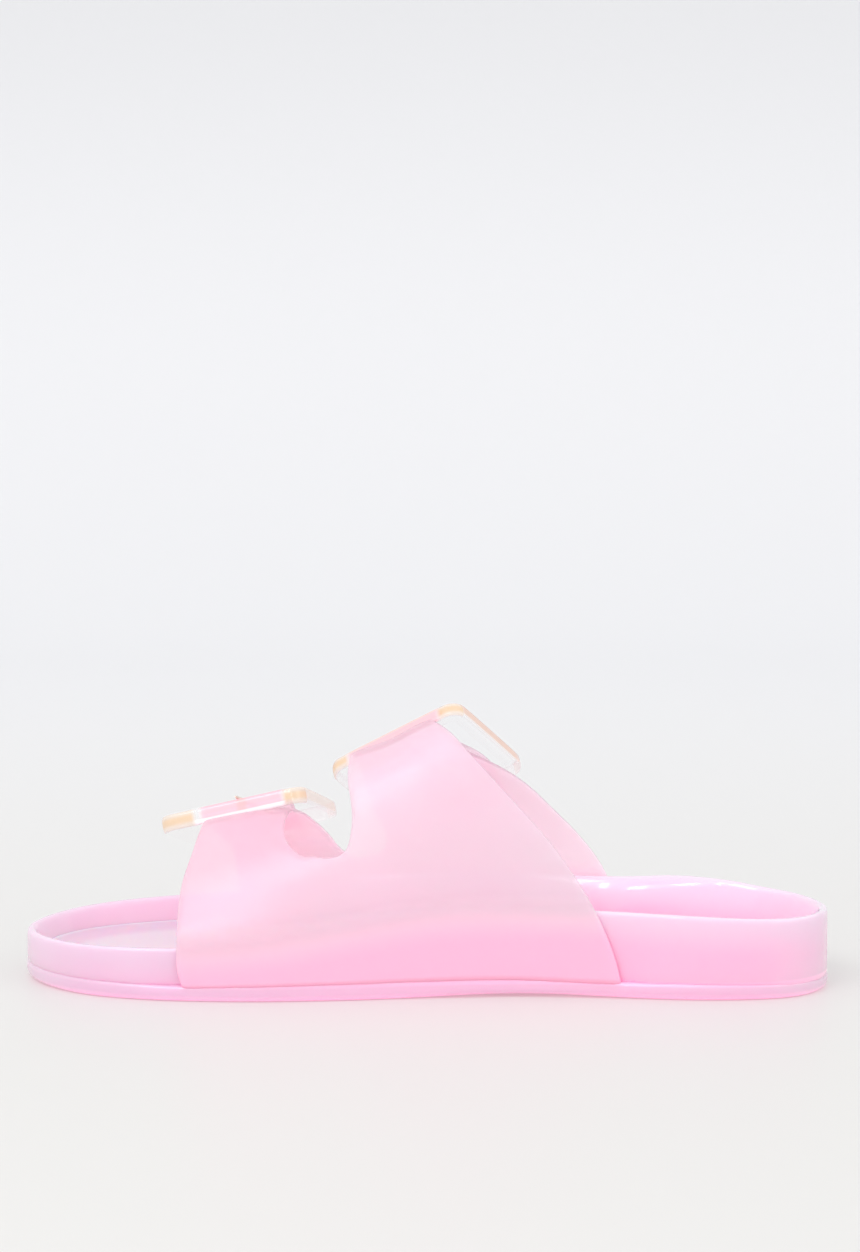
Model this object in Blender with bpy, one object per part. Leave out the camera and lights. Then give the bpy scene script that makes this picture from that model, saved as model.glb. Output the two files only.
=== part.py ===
# Double-buckle sandal, right foot. Toe along -X, medial side along -Y, ground at Z = 0.
# Sizes below are in millimetres and are turned into metres when a mesh is made.
import bpy
import bmesh
import numpy as np
from math import sin, pi, radians
from mathutils import Matrix, Vector

MM = 0.001
SEAT_GAP = 0.3
UPPER_WALL = 2.0
INSOLE_WALL = 1.2
SIDE_STEPS = 40
CROSS_STEPS = 6
BUCKLE_LENGTH = 47.5
BUCKLE_WIDTH = 44.0
BUCKLE_BAR = 4.6
BUCKLE_THICK = 4.0
BUCKLE_CORNER = 5.5
BUCKLE_EDGE = 0.9
PRONG_RADIUS = 0.8
PRONG_HOOK = 1.4
SLOT_WIDTH = 2.6
SLOT_START = 3.0
SLOT_PAST_BUCKLE = 2.6
SLOT_LOW = -1.95
SLOT_HIGH = 9.0
STRAP_TAIL_WIDTH = 25.0
EDGE_BULGE = 0.6
RIM_COVER = 1.5

# The outsole stands past the footbed wall to carry the upper; at the toe and the heel it tapers to a lip.
LEDGE_REACH = 2.3
LEDGE_TIP = 0.3
LEDGE_FRONT = (-118.0, -78.0)
LEDGE_REAR = (62.0, 106.0)

# Underside: rise of the toe in front of the ball and of the arch behind it.
TOE_SPRING = 0.9
TOE_BREAK = -104.0
ARCH_LIFT = 0.9
ARCH_SPAN = (-18.0, 76.0)

# Plan outline of the footbed wall: station x, medial y, lateral y.
TOE_TIP = (-128.0, 3.0)
HEEL_TIP = (127.0, -10.5)
OUTLINE = [
    (-126.0, -7.0, 13.5),
    (-121.5, -15.5, 23.0),
    (-115.0, -22.8, 31.2),
    (-105.0, -29.8, 38.5),
    (-92.0, -34.0, 44.5),
    (-75.0, -36.9, 49.5),
    (-52.0, -38.0, 51.8),
    (-28.0, -36.3, 49.0),
    (0.0, -32.5, 42.5),
    (30.0, -30.2, 34.2),
    (60.0, -32.6, 28.4),
    (85.0, -36.6, 27.2),
    (103.0, -36.6, 24.0),
    (115.0, -32.8, 16.8),
    (122.5, -25.4, 6.8),
]

# Heights along the foot: station x, outsole top, insole top, medial rim, lateral rim.
LEVELS = [
    (-128.0, 5.8, 8.6, 15.8, 15.8),
    (-98.0, 5.4, 8.4, 16.0, 17.0),
    (-78.0, 5.0, 8.4, 16.4, 17.4),
    (-54.0, 5.6, 9.0, 18.6, 19.0),
    (-20.0, 6.1, 11.0, 24.0, 24.0),
    (20.0, 6.3, 14.6, 27.6, 27.6),
    (50.0, 5.5, 14.0, 27.2, 27.2),
    (65.0, 5.2, 13.2, 26.8, 27.2),
    (80.0, 5.2, 12.6, 26.4, 27.8),
    (100.0, 5.2, 12.3, 25.6, 26.4),
    (112.0, 4.9, 12.3, 25.2, 25.0),
    (128.0, 4.0, 12.5, 25.0, 24.8),
]

# Rounded edges of the layers, from the wall inwards: inset, then the height over the ground, below the rim
# or over the insole.
OUTSOLE_EDGE = [(2.4, 0.0), (1.0, 0.3), (0.3, 1.0), (0.0, 2.4)]
OUTSOLE_TOP_ROUND = 0.5
RIM_EDGE = [(0.0, 1.2), (0.4, 0.35), (1.3, 0.0), (2.4, 0.4), (3.1, 1.4)]
CUP_WALL = [(5.4, 1.4), (6.2, 0.4)]
CUP_FLOOR_INSET = 8.6
INSOLE_UNDER_INSET = 8.8
INSOLE_EDGE = [(6.6, 0.55), (5.8, 1.4), (6.6, 1.5), (9.6, 0.0)]

# Inner face of the upper above the rim, one row per section of the last:
# x, medial side (y, z), medial shoulder (y, z), ridge (y, z), lateral slope (y, z), lateral shoulder (y, z).
SECTIONS = [
    (-82.0, -31.8, 25.5, -21.5, 37.0, -6.0, 46.5, 29.0, 34.5, 42.0, 28.5),
    (-70.0, -33.2, 27.5, -23.0, 40.0, -7.5, 50.0, 28.0, 38.0, 43.5, 31.5),
    (-57.0, -34.2, 30.0, -24.8, 43.5, -9.0, 53.0, 26.0, 41.0, 44.0, 33.5),
    (-44.0, -35.2, 33.0, -26.0, 47.5, -10.5, 56.0, 24.0, 44.0, 43.0, 35.5),
    (-24.0, -33.6, 42.0, -25.3, 63.0, -6.5, 72.0, 22.0, 45.5, 38.0, 33.0),
    (-10.0, -33.0, 46.0, -25.5, 68.5, -8.5, 77.5, 20.0, 51.0, 36.0, 37.0),
    (3.0, -32.0, 48.0, -25.3, 73.0, -10.5, 83.0, 18.0, 56.5, 33.5, 41.5),
    (25.0, -30.5, 48.0, -25.0, 75.0, -12.0, 90.0, 14.0, 65.0, 29.5, 45.0),
    (62.0, -32.5, 48.0, -27.0, 73.0, -12.0, 96.0, 8.0, 72.0, 22.0, 50.0),
]
GIRTH_KNOTS = [0.0, 0.13, 0.26, 0.38, 0.5, 0.68, 0.8, 0.9, 1.0]

# Cut edges of the upper: girth (0 medial ground, 0.5 ridge, 1 lateral ground), then x of the front edge,
# the two sides of the gap between the straps, and the rear edge.
EDGES = [
    (0.000, -75.2, -42.0, -14.0, 60.5),
    (0.035, -76.5, -42.0, -15.0, 58.6),
    (0.084, -76.7, -41.0, -17.0, 55.1),
    (0.139, -76.6, -40.0, -19.0, 50.6),
    (0.184, -76.5, -39.5, -21.0, 46.5),
    (0.229, -76.4, -39.0, -22.0, 42.2),
    (0.264, -76.3, -38.5, -22.8, 38.2),
    (0.300, -76.1, -37.8, -22.8, 30.6),
    (0.321, -75.7, -37.8, -22.4, 25.6),
    (0.343, -75.2, -40.6, -22.5, 20.5),
    (0.376, -74.0, -43.4, -23.2, 14.3),
    (0.420, -72.2, -44.6, -23.8, 9.2),
    (0.500, -69.5, -43.0, -23.0, 2.2),
    (0.560, -68.8, -42.2, -21.0, 4.8),
    (0.620, -67.8, -41.4, -18.5, 11.6),
    (0.700, -66.0, -37.7, -15.0, 24.3),
    (0.780, -64.2, -34.2, -12.5, 38.6),
    (0.830, -63.2, -30.2, -13.0, 47.2),
    (0.850, -62.9, -27.2, -15.0, 50.3),
    (0.910, -62.3, -29.0, -13.0, 59.0),
    (0.960, -62.0, -31.0, -11.0, 62.0),
    (1.000, -61.0, -32.0, -10.0, 62.5),
]
GAP_START = 0.320
GAP_END = 0.850

# How far the gap's rounded ends run on past its start and end, from its front side to its rear side.
GAP_SAG_MEDIAL = (0.0, 0.008, 0.028, 0.034, 0.032, 0.0)
GAP_SAG_LATERAL = (0.0, 0.010, 0.0135, 0.0135, 0.010, 0.0)
FRONT_CELLS = 6
BRIDGE_CELLS = 5
REAR_CELLS = 9
MEDIAL_ROWS = 9
STRAP_ROWS = 22
LATERAL_ROWS = 5

# Strap tail: distance past the buckle centre, share carried by the far bar (the rest lies on the strap),
# then the underside and the top above whatever carries it.
TAIL = [
    (-14.0, 0.0, -1.6, -0.25),
    (-8.0, 0.0, -1.3, 0.5),
    (-1.0, 0.0, -0.4, 1.6),
    (6.0, 0.4, 0.0, 2.0),
    (12.0, 0.8, 0.2, 2.2),
    (17.0, 1.0, 0.35, 2.35),
    (23.0, 1.0, 0.35, 2.35),
    (27.0, 0.6, 0.2, 2.2),
    (31.0, 0.15, -0.2, 1.9),
    (34.5, 0.0, -0.6, 1.6),
    (43.0, 0.0, -0.6, 1.5),
]
TAIL_CELLS = 6

# Buckle placing: x and girth under the near bar, under the far bar and at the tail's end,
# the lift over the strap, the tilt about the crosswise axis in degrees and the tail's shift along the foot.
BUCKLES = {
    "front": dict(near=(-60.3, 0.507), far=(-51.0, 0.702), tail=(-47.0, 0.815), lift=1.0, tilt=0.0, aside=2.6),
    "rear": dict(near=(-9.8, 0.530), far=(12.4, 0.735), tail=(20.0, 0.850), lift=1.5, tilt=2.5, aside=-1.6),
}


def slopes(xs, ys):
    step = np.diff(xs)
    rise = np.diff(ys) / step
    out = np.zeros(len(xs))
    for i in range(1, len(xs) - 1):
        if rise[i - 1] * rise[i] > 0:
            a = 2 * step[i] + step[i - 1]
            b = step[i] + 2 * step[i - 1]
            out[i] = (a + b) / (a / rise[i - 1] + b / rise[i])
    out[0] = rise[0]
    out[-1] = rise[-1]
    return out


def along(xs, ys, x):
    # Smooth curve through a table column that never overshoots its rows.
    xs = np.asarray(xs, float)
    ys = np.asarray(ys, float)
    m = slopes(xs, ys)
    i = int(np.clip(np.searchsorted(xs, x) - 1, 0, len(xs) - 2))
    h = xs[i + 1] - xs[i]
    t = (x - xs[i]) / h
    if t < 0:
        return ys[0] + m[0] * (x - xs[0])
    if t > 1:
        return ys[-1] + m[-1] * (x - xs[-1])
    near = (1 + 2 * t) * (1 - t) ** 2 * ys[i] + t * (1 - t) ** 2 * h * m[i]
    far = t * t * (3 - 2 * t) * ys[i + 1] + t * t * (t - 1) * h * m[i + 1]
    return near + far


def column(table, c, x):
    rows = np.array(table)
    return along(rows[:, 0], rows[:, c], x)


def level(name, x, side=-1):
    c = {"outsole": 1, "insole": 2, "rim": 3 if side < 0 else 4}[name]
    return column(LEVELS, c, x)


def ground_lift(x):
    toe = TOE_SPRING * max(0.0, (TOE_BREAK - x) / (TOE_BREAK - TOE_TIP[0])) ** 2
    start, end = ARCH_SPAN
    arch = ARCH_LIFT * sin(pi * (x - start) / (end - start)) ** 2 if start < x < end else 0.0
    return toe + arch


def ledge(x):
    front = (x - LEDGE_FRONT[0]) / (LEDGE_FRONT[1] - LEDGE_FRONT[0])
    rear = (LEDGE_REAR[1] - x) / (LEDGE_REAR[1] - LEDGE_REAR[0])
    t = np.clip(min(front, rear), 0.0, 1.0)
    return LEDGE_TIP + (LEDGE_REACH - LEDGE_TIP) * t * t * (3 - 2 * t)


def half_outline(side):
    rows = np.array([TOE_TIP] + [(r[0], r[side]) for r in OUTLINE] + [HEEL_TIP])
    mirror = {1: 2, 2: 1}[side]
    before = np.array([OUTLINE[0][0], OUTLINE[0][mirror]])
    after = np.array([OUTLINE[-1][0], OUTLINE[-1][mirror]])
    chain = np.vstack([before, rows, after])
    fine = []
    for i in range(1, len(chain) - 2):
        p0, p1, p2, p3 = chain[i - 1:i + 3]
        t1 = np.linalg.norm(p1 - p0) ** 0.5
        t2 = t1 + np.linalg.norm(p2 - p1) ** 0.5
        t3 = t2 + np.linalg.norm(p3 - p2) ** 0.5
        for t in np.linspace(t1, t2, 12, endpoint=False):
            a1 = (t1 - t) / t1 * p0 + t / t1 * p1
            a2 = (t2 - t) / (t2 - t1) * p1 + (t - t1) / (t2 - t1) * p2
            a3 = (t3 - t) / (t3 - t2) * p2 + (t - t2) / (t3 - t2) * p3
            b1 = (t2 - t) / t2 * a1 + t / t2 * a2
            b2 = (t3 - t) / (t3 - t1) * a2 + (t - t1) / (t3 - t1) * a3
            fine.append((t2 - t) / (t2 - t1) * b1 + (t - t1) / (t2 - t1) * b2)
    fine = np.array(fine + [chain[-2]])
    run = np.concatenate([[0], np.cumsum(np.linalg.norm(np.diff(fine, axis=0), axis=1))])
    wanted = np.linspace(0, run[-1], SIDE_STEPS + 1)
    return np.column_stack([np.interp(wanted, run, fine[:, k]) for k in (0, 1)])


def plan_ring():
    medial = half_outline(1)
    lateral = half_outline(2)
    ring = np.vstack([medial, lateral[-2:0:-1]])
    flow = np.roll(ring, -1, axis=0) - np.roll(ring, 1, axis=0)
    flow /= np.linalg.norm(flow, axis=1)[:, None]
    inward = np.column_stack([-flow[:, 1], flow[:, 0]])
    return ring, inward


RING, INWARD = plan_ring()
COUNT = len(RING)
SIDES = [-1 if i <= SIDE_STEPS else 1 for i in range(COUNT)]


def ring_at(offset, height):
    # One closed row of points: both arguments are functions of the station x and the side.
    pts = []
    for i in range(COUNT):
        x = RING[i][0]
        p = RING[i] + INWARD[i] * offset(x, SIDES[i])
        pts.append((p[0], p[1], height(x, SIDES[i])))
    return pts


def add_cap(verts, faces, start, height=None):
    # Fills a closed row with cross rungs from the medial to the lateral side.
    rows = [[start]]
    for i in range(1, SIDE_STEPS):
        a = np.array(verts[start + i])
        b = np.array(verts[start + COUNT - i])
        row = [start + i]
        for k in range(1, CROSS_STEPS):
            p = a + (b - a) * k / CROSS_STEPS
            if height:
                p[2] = height(p[0])
            verts.append(tuple(p))
            row.append(len(verts) - 1)
        row.append(start + COUNT - i)
        rows.append(row)
    rows.append([start + SIDE_STEPS])
    for r, s in zip(rows, rows[1:]):
        for k in range(CROSS_STEPS):
            if len(r) == 1:
                faces.append((r[0], s[k], s[k + 1]))
            elif len(s) == 1:
                faces.append((r[k], s[0], r[k + 1]))
            else:
                faces.append((r[k], s[k], s[k + 1], r[k + 1]))


def stacked(name, rings, material, low=None, high=None):
    verts = [p for ring in rings for p in ring]
    faces = []
    for r in range(len(rings) - 1):
        for i in range(COUNT):
            j = (i + 1) % COUNT
            faces.append((r * COUNT + i, r * COUNT + j, (r + 1) * COUNT + j, (r + 1) * COUNT + i))
    add_cap(verts, faces, 0, low)
    add_cap(verts, faces, (len(rings) - 1) * COUNT, high)
    return solid(name, verts, faces, material)


def solid(name, verts, faces, material):
    mesh = bpy.data.meshes.new(name)
    mesh.from_pydata([tuple(c * MM for c in v) for v in verts], [], faces)
    bm = bmesh.new()
    bm.from_mesh(mesh)
    bmesh.ops.recalc_face_normals(bm, faces=bm.faces)
    bm.to_mesh(mesh)
    bm.free()
    mesh.materials.append(material)
    obj = bpy.data.objects.new(name, mesh)
    parts.objects.link(obj)
    obj.parent = root
    return obj


def surface(name, colour, rough, metal=0.0, clear=0.0):
    mat = bpy.data.materials.new(name)
    mat.use_nodes = True
    node = mat.node_tree.nodes["Principled BSDF"]
    node.inputs["Base Color"].default_value = (*colour, 1.0)
    node.inputs["Roughness"].default_value = rough
    node.inputs["Metallic"].default_value = metal
    node.inputs["Transmission Weight"].default_value = clear
    mat.diffuse_color = (*colour, 1.0)
    return mat


def inner_point(x, g):
    s = [column(SECTIONS, c, x) for c in range(1, 11)]
    medial = column(OUTLINE, 1, x) - SEAT_GAP
    lateral = column(OUTLINE, 2, x) + SEAT_GAP
    ground = level("outsole", x) + SEAT_GAP
    rims = [level("rim", x, side) + RIM_COVER for side in (-1, 1)]
    ys = [medial, medial, s[0], s[2], s[4], s[6], s[8], lateral, lateral]
    zs = [ground, rims[0], s[1], s[3], s[5], s[7], s[9], rims[1], ground]
    return np.array([x, along(GIRTH_KNOTS, ys, g), along(GIRTH_KNOTS, zs, g)])


def outward(x, g):
    flow = inner_point(x + 0.5, g) - inner_point(x - 0.5, g)
    rise = inner_point(x, min(g + 0.002, 1.0)) - inner_point(x, max(g - 0.002, 0.0))
    n = np.cross(flow, rise)
    return n / np.linalg.norm(n)


def strap_point(x, g, height):
    # A point at the given height over the outer face of the upper.
    return inner_point(x, g) + outward(x, g) * (UPPER_WALL + height)


def edge_x(g):
    return [column(EDGES, c, g) for c in range(1, 5)]


def upper_columns(g):
    front, gap_front, gap_rear, rear = edge_x(g)
    a = np.linspace(front, gap_front, FRONT_CELLS + 1)
    b = np.linspace(gap_front, gap_rear, BRIDGE_CELLS + 1)
    c = np.linspace(gap_rear, rear, REAR_CELLS + 1)
    return list(a) + list(b[1:-1]) + list(c)


def upper_grid():
    cols = FRONT_CELLS + BRIDGE_CELLS + REAR_CELLS + 1
    rows = []
    for r in range(MEDIAL_ROWS + 1):
        t = r / MEDIAL_ROWS
        rows.append((GAP_START * t, [-t * sag for sag in GAP_SAG_MEDIAL]))
    for r in range(1, STRAP_ROWS):
        rows.append((GAP_START + (GAP_END - GAP_START) * r / STRAP_ROWS, None))
    for r in range(LATERAL_ROWS + 1):
        t = r / LATERAL_ROWS
        rows.append((GAP_END + (1 - GAP_END) * t, [(1 - t) * sag for sag in GAP_SAG_LATERAL]))
    grid = []
    for g, sags in rows:
        line = []
        for c in range(cols):
            k = c - FRONT_CELLS
            inside = 0 < k < BRIDGE_CELLS
            if inside and sags is None:
                line.append(None)
                continue
            gc = g + (sags[k] if inside else 0.0)
            line.append((upper_columns(gc)[c], gc))
        grid.append(line)
    return grid


def build_upper(material):
    grid = upper_grid()
    rows = len(grid)
    cols = len(grid[0])
    verts = []
    index = {}
    for r in range(rows):
        for c in range(cols):
            if grid[r][c]:
                x, g = grid[r][c]
                index[r, c, 0] = len(verts)
                verts.append(inner_point(x, g))
                index[r, c, 1] = len(verts)
                verts.append(strap_point(x, g, 0.0))
    cells = []
    for r in range(rows - 1):
        for c in range(cols - 1):
            corners = [(r, c), (r, c + 1), (r + 1, c + 1), (r + 1, c)]
            bridge = FRONT_CELLS <= c < FRONT_CELLS + BRIDGE_CELLS
            if all(grid[i][j] for i, j in corners) and not (bridge and MEDIAL_ROWS <= r < rows - 1 - LATERAL_ROWS):
                cells.append(corners)
    faces = []
    border = {}
    for corners in cells:
        faces.append([index[i, j, 0] for i, j in corners])
        faces.append([index[i, j, 1] for i, j in reversed(corners)])
        for a, b in zip(corners, corners[1:] + corners[:1]):
            if (b, a) in border:
                del border[b, a]
            else:
                border[a, b] = corners
    middle = {}
    for (a, b), corners in border.items():
        heart = np.mean([(verts[index[i, j, 0]] + verts[index[i, j, 1]]) / 2 for i, j in corners], axis=0)
        for p in (a, b):
            mid = (verts[index[p[0], p[1], 0]] + verts[index[p[0], p[1], 1]]) / 2
            line = (verts[index[b[0], b[1], 0]] - verts[index[a[0], a[1], 0]])
            line = line / np.linalg.norm(line)
            away = mid - heart
            away = away - line * away.dot(line)
            middle.setdefault(p, []).append((mid, away / np.linalg.norm(away)))
    for p, found in middle.items():
        mid = found[0][0]
        push = np.mean([f[1] for f in found], axis=0)
        grounded = p[0] in (0, rows - 1)
        index[p[0], p[1], 2] = len(verts)
        verts.append(mid + (0.0 if grounded else EDGE_BULGE) * push / np.linalg.norm(push))
    for a, b in border:
        ia, ib = [index[a[0], a[1], k] for k in range(3)], [index[b[0], b[1], k] for k in range(3)]
        faces.append((ia[0], ia[2], ib[2], ib[0]))
        faces.append((ia[2], ia[1], ib[1], ib[2]))
    return solid("upper", verts, faces, material)


def buckle_frame(spec):
    # Axes of a buckle lying on the strap: along the foot, across to the lateral side, up.
    near = strap_point(*spec["near"], 0.0)
    far = strap_point(*spec["far"], 0.0)
    across = (far - near) / np.linalg.norm(far - near)
    up = outward(*spec["near"]) + outward(*spec["far"]) * 2
    up = up - across * up.dot(across)
    up /= np.linalg.norm(up)
    turn = Matrix.Rotation(-radians(spec["tilt"]), 3, Vector(across))
    up = np.array(turn @ Vector(up))
    foot = np.cross(across, up)
    centre = (near + far) / 2 + up * (spec["lift"] + BUCKLE_THICK / 2)
    return centre, foot, across, up


def placed(obj, frame, height=0.0):
    centre, foot, across, up = frame
    turn = Matrix((foot, across, up)).transposed().to_4x4()
    obj.matrix_basis = Matrix.Translation(Vector((centre + up * height) * MM)) @ turn


def rounded_rectangle(length, width, radius, steps):
    pts = []
    for k, (sx, sy) in enumerate(((1, 1), (-1, 1), (-1, -1), (1, -1))):
        for i in range(steps + 1):
            ang = pi / 2 * (k + i / steps)
            pts.append((sx * (length / 2 - radius) + radius * np.cos(ang),
                        sy * (width / 2 - radius) + radius * np.sin(ang)))
    return pts


def outline_curve(name, pts, closed):
    data = bpy.data.curves.new(name, "CURVE")
    data.dimensions = "3D"
    line = data.splines.new("POLY")
    line.points.add(len(pts) - 1)
    for point, p in zip(line.points, pts):
        point.co = (*[c * MM for c in p], 1.0)
    line.use_cyclic_u = closed
    return data


def swept(name, data, material):
    # Turns a bevelled curve into a welded mesh object.
    carrier = bpy.data.objects.new(name, data)
    parts.objects.link(carrier)
    bpy.context.view_layer.update()
    graph = bpy.context.evaluated_depsgraph_get()
    mesh = bpy.data.meshes.new_from_object(carrier.evaluated_get(graph))
    bpy.data.objects.remove(carrier)
    mesh.name = name
    bm = bmesh.new()
    bm.from_mesh(mesh)
    bmesh.ops.remove_doubles(bm, verts=bm.verts, dist=0.00001)
    bmesh.ops.recalc_face_normals(bm, faces=bm.faces)
    bm.to_mesh(mesh)
    bm.free()
    mesh.materials.clear()
    mesh.materials.append(material)
    obj = bpy.data.objects.new(name, mesh)
    parts.objects.link(obj)
    obj.parent = root
    return obj


def build_buckle(name, frame, material):
    path = rounded_rectangle(BUCKLE_LENGTH - BUCKLE_BAR, BUCKLE_WIDTH - BUCKLE_BAR,
                             BUCKLE_CORNER - BUCKLE_BAR / 2, 5)
    data = outline_curve(name, [(x, y, 0.0) for x, y in path], True)
    shape = rounded_rectangle(BUCKLE_BAR, BUCKLE_THICK, BUCKLE_EDGE, 2)
    profile = bpy.data.objects.new(name + "_profile", outline_curve(name + "_profile",
                                   [(x, y, 0.0) for x, y in shape], True))
    profile.data.dimensions = "2D"
    cutters.objects.link(profile)
    data.bevel_mode = "OBJECT"
    data.bevel_object = profile
    obj = swept(name, data, material)
    bpy.data.objects.remove(profile)
    placed(obj, frame)
    return obj


def build_prong(name, frame, material):
    rest = BUCKLE_THICK / 2 + SEAT_GAP + PRONG_RADIUS
    hook = BUCKLE_WIDTH / 2 + SEAT_GAP + PRONG_RADIUS
    path = [(hook, rest - 2.8 * PRONG_HOOK), (hook, rest - PRONG_HOOK),
            (hook - 0.3 * PRONG_HOOK, rest - 0.3 * PRONG_HOOK), (hook - PRONG_HOOK, rest),
            (0.0, rest), (PRONG_RADIUS / 2 - BUCKLE_WIDTH / 2, rest)]
    data = outline_curve(name, [(0.0, y, z) for y, z in path], False)
    data.bevel_depth = PRONG_RADIUS * MM
    data.bevel_resolution = 2
    data.use_fill_caps = True
    obj = swept(name, data, material)
    placed(obj, frame)
    return obj


def build_tail(name, spec, frame, material):
    # Free end of a strap: rises through the buckle, passes over the far bar and lies on the lateral side.
    centre, foot, across, up = frame
    near = np.array(spec["near"])
    far = np.array(spec["far"])
    end = np.array(spec["tail"])
    half = BUCKLE_WIDTH / 2 - BUCKLE_BAR / 2
    skew = foot[1] * (far[1] - near[1]) / (2 * half * across[1])
    verts = []
    rows = len(TAIL)
    for past, carried, under, top in TAIL:
        if past <= half:
            x, g = near + (far - near) * (past + half) / (2 * half)
        else:
            x, g = far + (end - far) * (past - half) / (TAIL[-1][0] - half)
        for height in (under, top):
            for k in range(TAIL_CELLS + 1):
                side = STRAP_TAIL_WIDTH * (k / TAIL_CELLS - 0.5) + spec["aside"]
                low = strap_point(x + side * foot[0], g + side * skew, height)
                high = centre + foot * side + across * past + up * (BUCKLE_THICK / 2 + height)
                verts.append(low * (1 - carried) + high * carried)
    wide = TAIL_CELLS + 1
    faces = []
    for r in range(rows - 1):
        a = r * 2 * wide
        b = a + 2 * wide
        for k in range(TAIL_CELLS):
            faces.append((a + k, a + k + 1, b + k + 1, b + k))
            faces.append((a + wide + k, b + wide + k, b + wide + k + 1, a + wide + k + 1))
        faces.append((a, b, b + wide, a + wide))
        faces.append((a + wide - 1, a + 2 * wide - 1, b + 2 * wide - 1, b + wide - 1))
    for r in (0, rows - 1):
        a = r * 2 * wide
        for k in range(TAIL_CELLS):
            faces.append((a + k, a + wide + k, a + wide + k + 1, a + k + 1))
    obj = solid(name, verts, faces, material)
    parts.objects.unlink(obj)
    cutters.objects.link(obj)
    return obj


def build_slot(name, frame):
    bpy.ops.mesh.primitive_cube_add(size=1.0)
    obj = bpy.context.object
    obj.name = name
    for holder in list(obj.users_collection):
        holder.objects.unlink(obj)
    cutters.objects.link(obj)
    end = BUCKLE_WIDTH / 2 + SLOT_PAST_BUCKLE
    bm = bmesh.new()
    bm.from_mesh(obj.data)
    for v in bm.verts:
        v.co = Vector((v.co.x * SLOT_WIDTH, (SLOT_START + end) / 2 + v.co.y * (end - SLOT_START),
                       (SLOT_LOW + SLOT_HIGH) / 2 + v.co.z * (SLOT_HIGH - SLOT_LOW))) * MM
    bm.to_mesh(obj.data)
    bm.free()
    obj.parent = root
    placed(obj, frame)
    return obj


def joined(obj, tool, operation):
    mod = obj.modifiers.new(tool.name, "BOOLEAN")
    mod.operation = operation
    mod.solver = "EXACT"
    mod.object = tool
    tool.hide_render = True
    tool.display_type = "WIRE"


for old in list(bpy.data.objects):
    bpy.data.objects.remove(old)
parts = bpy.data.collections.new("double_buckle_sandal")
cutters = bpy.data.collections.new("cutters")
bpy.context.scene.collection.children.link(parts)
bpy.context.scene.collection.children.link(cutters)
root = bpy.data.objects.new("sandal_root", None)
parts.objects.link(root)

jelly = surface("jelly_pink", (0.93, 0.56, 0.72), 0.35)
deep = surface("jelly_sole", (0.92, 0.53, 0.72), 0.25)
pale = surface("insole_sheet", (0.90, 0.76, 0.82), 0.45)
amber = surface("clear_amber", (0.95, 0.80, 0.66), 0.08, clear=0.6)
gold = surface("rose_gold", (0.85, 0.55, 0.38), 0.25, metal=1.0)

outsole_rings = []
for inset, rise in OUTSOLE_EDGE:
    outsole_rings.append(ring_at(lambda x, s, d=inset: d - ledge(x), lambda x, s, d=rise: ground_lift(x) + d))
widest = outsole_rings[-1]
outsole_rings.append(ring_at(lambda x, s: -ledge(x), lambda x, s: level("outsole", x) - OUTSOLE_TOP_ROUND))
outsole_rings.append(ring_at(lambda x, s: OUTSOLE_TOP_ROUND - ledge(x), lambda x, s: level("outsole", x)))
stacked("outsole", outsole_rings, deep, ground_lift, lambda x: level("outsole", x))

seat = INSOLE_WALL + SEAT_GAP
seam = SEAT_GAP + OUTSOLE_TOP_ROUND
footbed_rings = []
for inset in (OUTSOLE_TOP_ROUND, 0.0):
    footbed_rings.append(ring_at(lambda x, s, d=inset: d, lambda x, s, d=inset: level("outsole", x) + seam - d))
for inset, drop in RIM_EDGE:
    footbed_rings.append(ring_at(lambda x, s, d=inset: d, lambda x, s, d=drop: level("rim", x, s) - d))
for inset, rise in CUP_WALL:
    footbed_rings.append(ring_at(lambda x, s, d=inset: d, lambda x, s, d=rise: level("insole", x) + d))
footbed_rings.append(ring_at(lambda x, s: CUP_FLOOR_INSET, lambda x, s: level("insole", x) - seat))
stacked("footbed", footbed_rings, deep, lambda x: level("outsole", x) + SEAT_GAP, lambda x: level("insole", x) - seat)

insole_rings = [ring_at(lambda x, s: INSOLE_UNDER_INSET, lambda x, s: level("insole", x) - INSOLE_WALL)]
for inset, rise in INSOLE_EDGE:
    insole_rings.append(ring_at(lambda x, s, d=inset: d, lambda x, s, d=rise: level("insole", x) + d))
stacked("insole", insole_rings, pale, lambda x: level("insole", x) - INSOLE_WALL, lambda x: level("insole", x))

upper = build_upper(jelly)
for key, spec in BUCKLES.items():
    frame = buckle_frame(spec)
    joined(upper, build_tail("tail_" + key, spec, frame, jelly), "UNION")
    joined(upper, build_slot("slot_" + key, frame), "DIFFERENCE")
    build_buckle("buckle_" + key, frame, amber)
    build_prong("prong_" + key, frame, gold)

print_area = np.array(widest)[:, :2]
middle_x, middle_y = (print_area.min(axis=0) + print_area.max(axis=0)) / 2
root.location = (-middle_x * MM, -middle_y * MM, 0.0)
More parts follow.
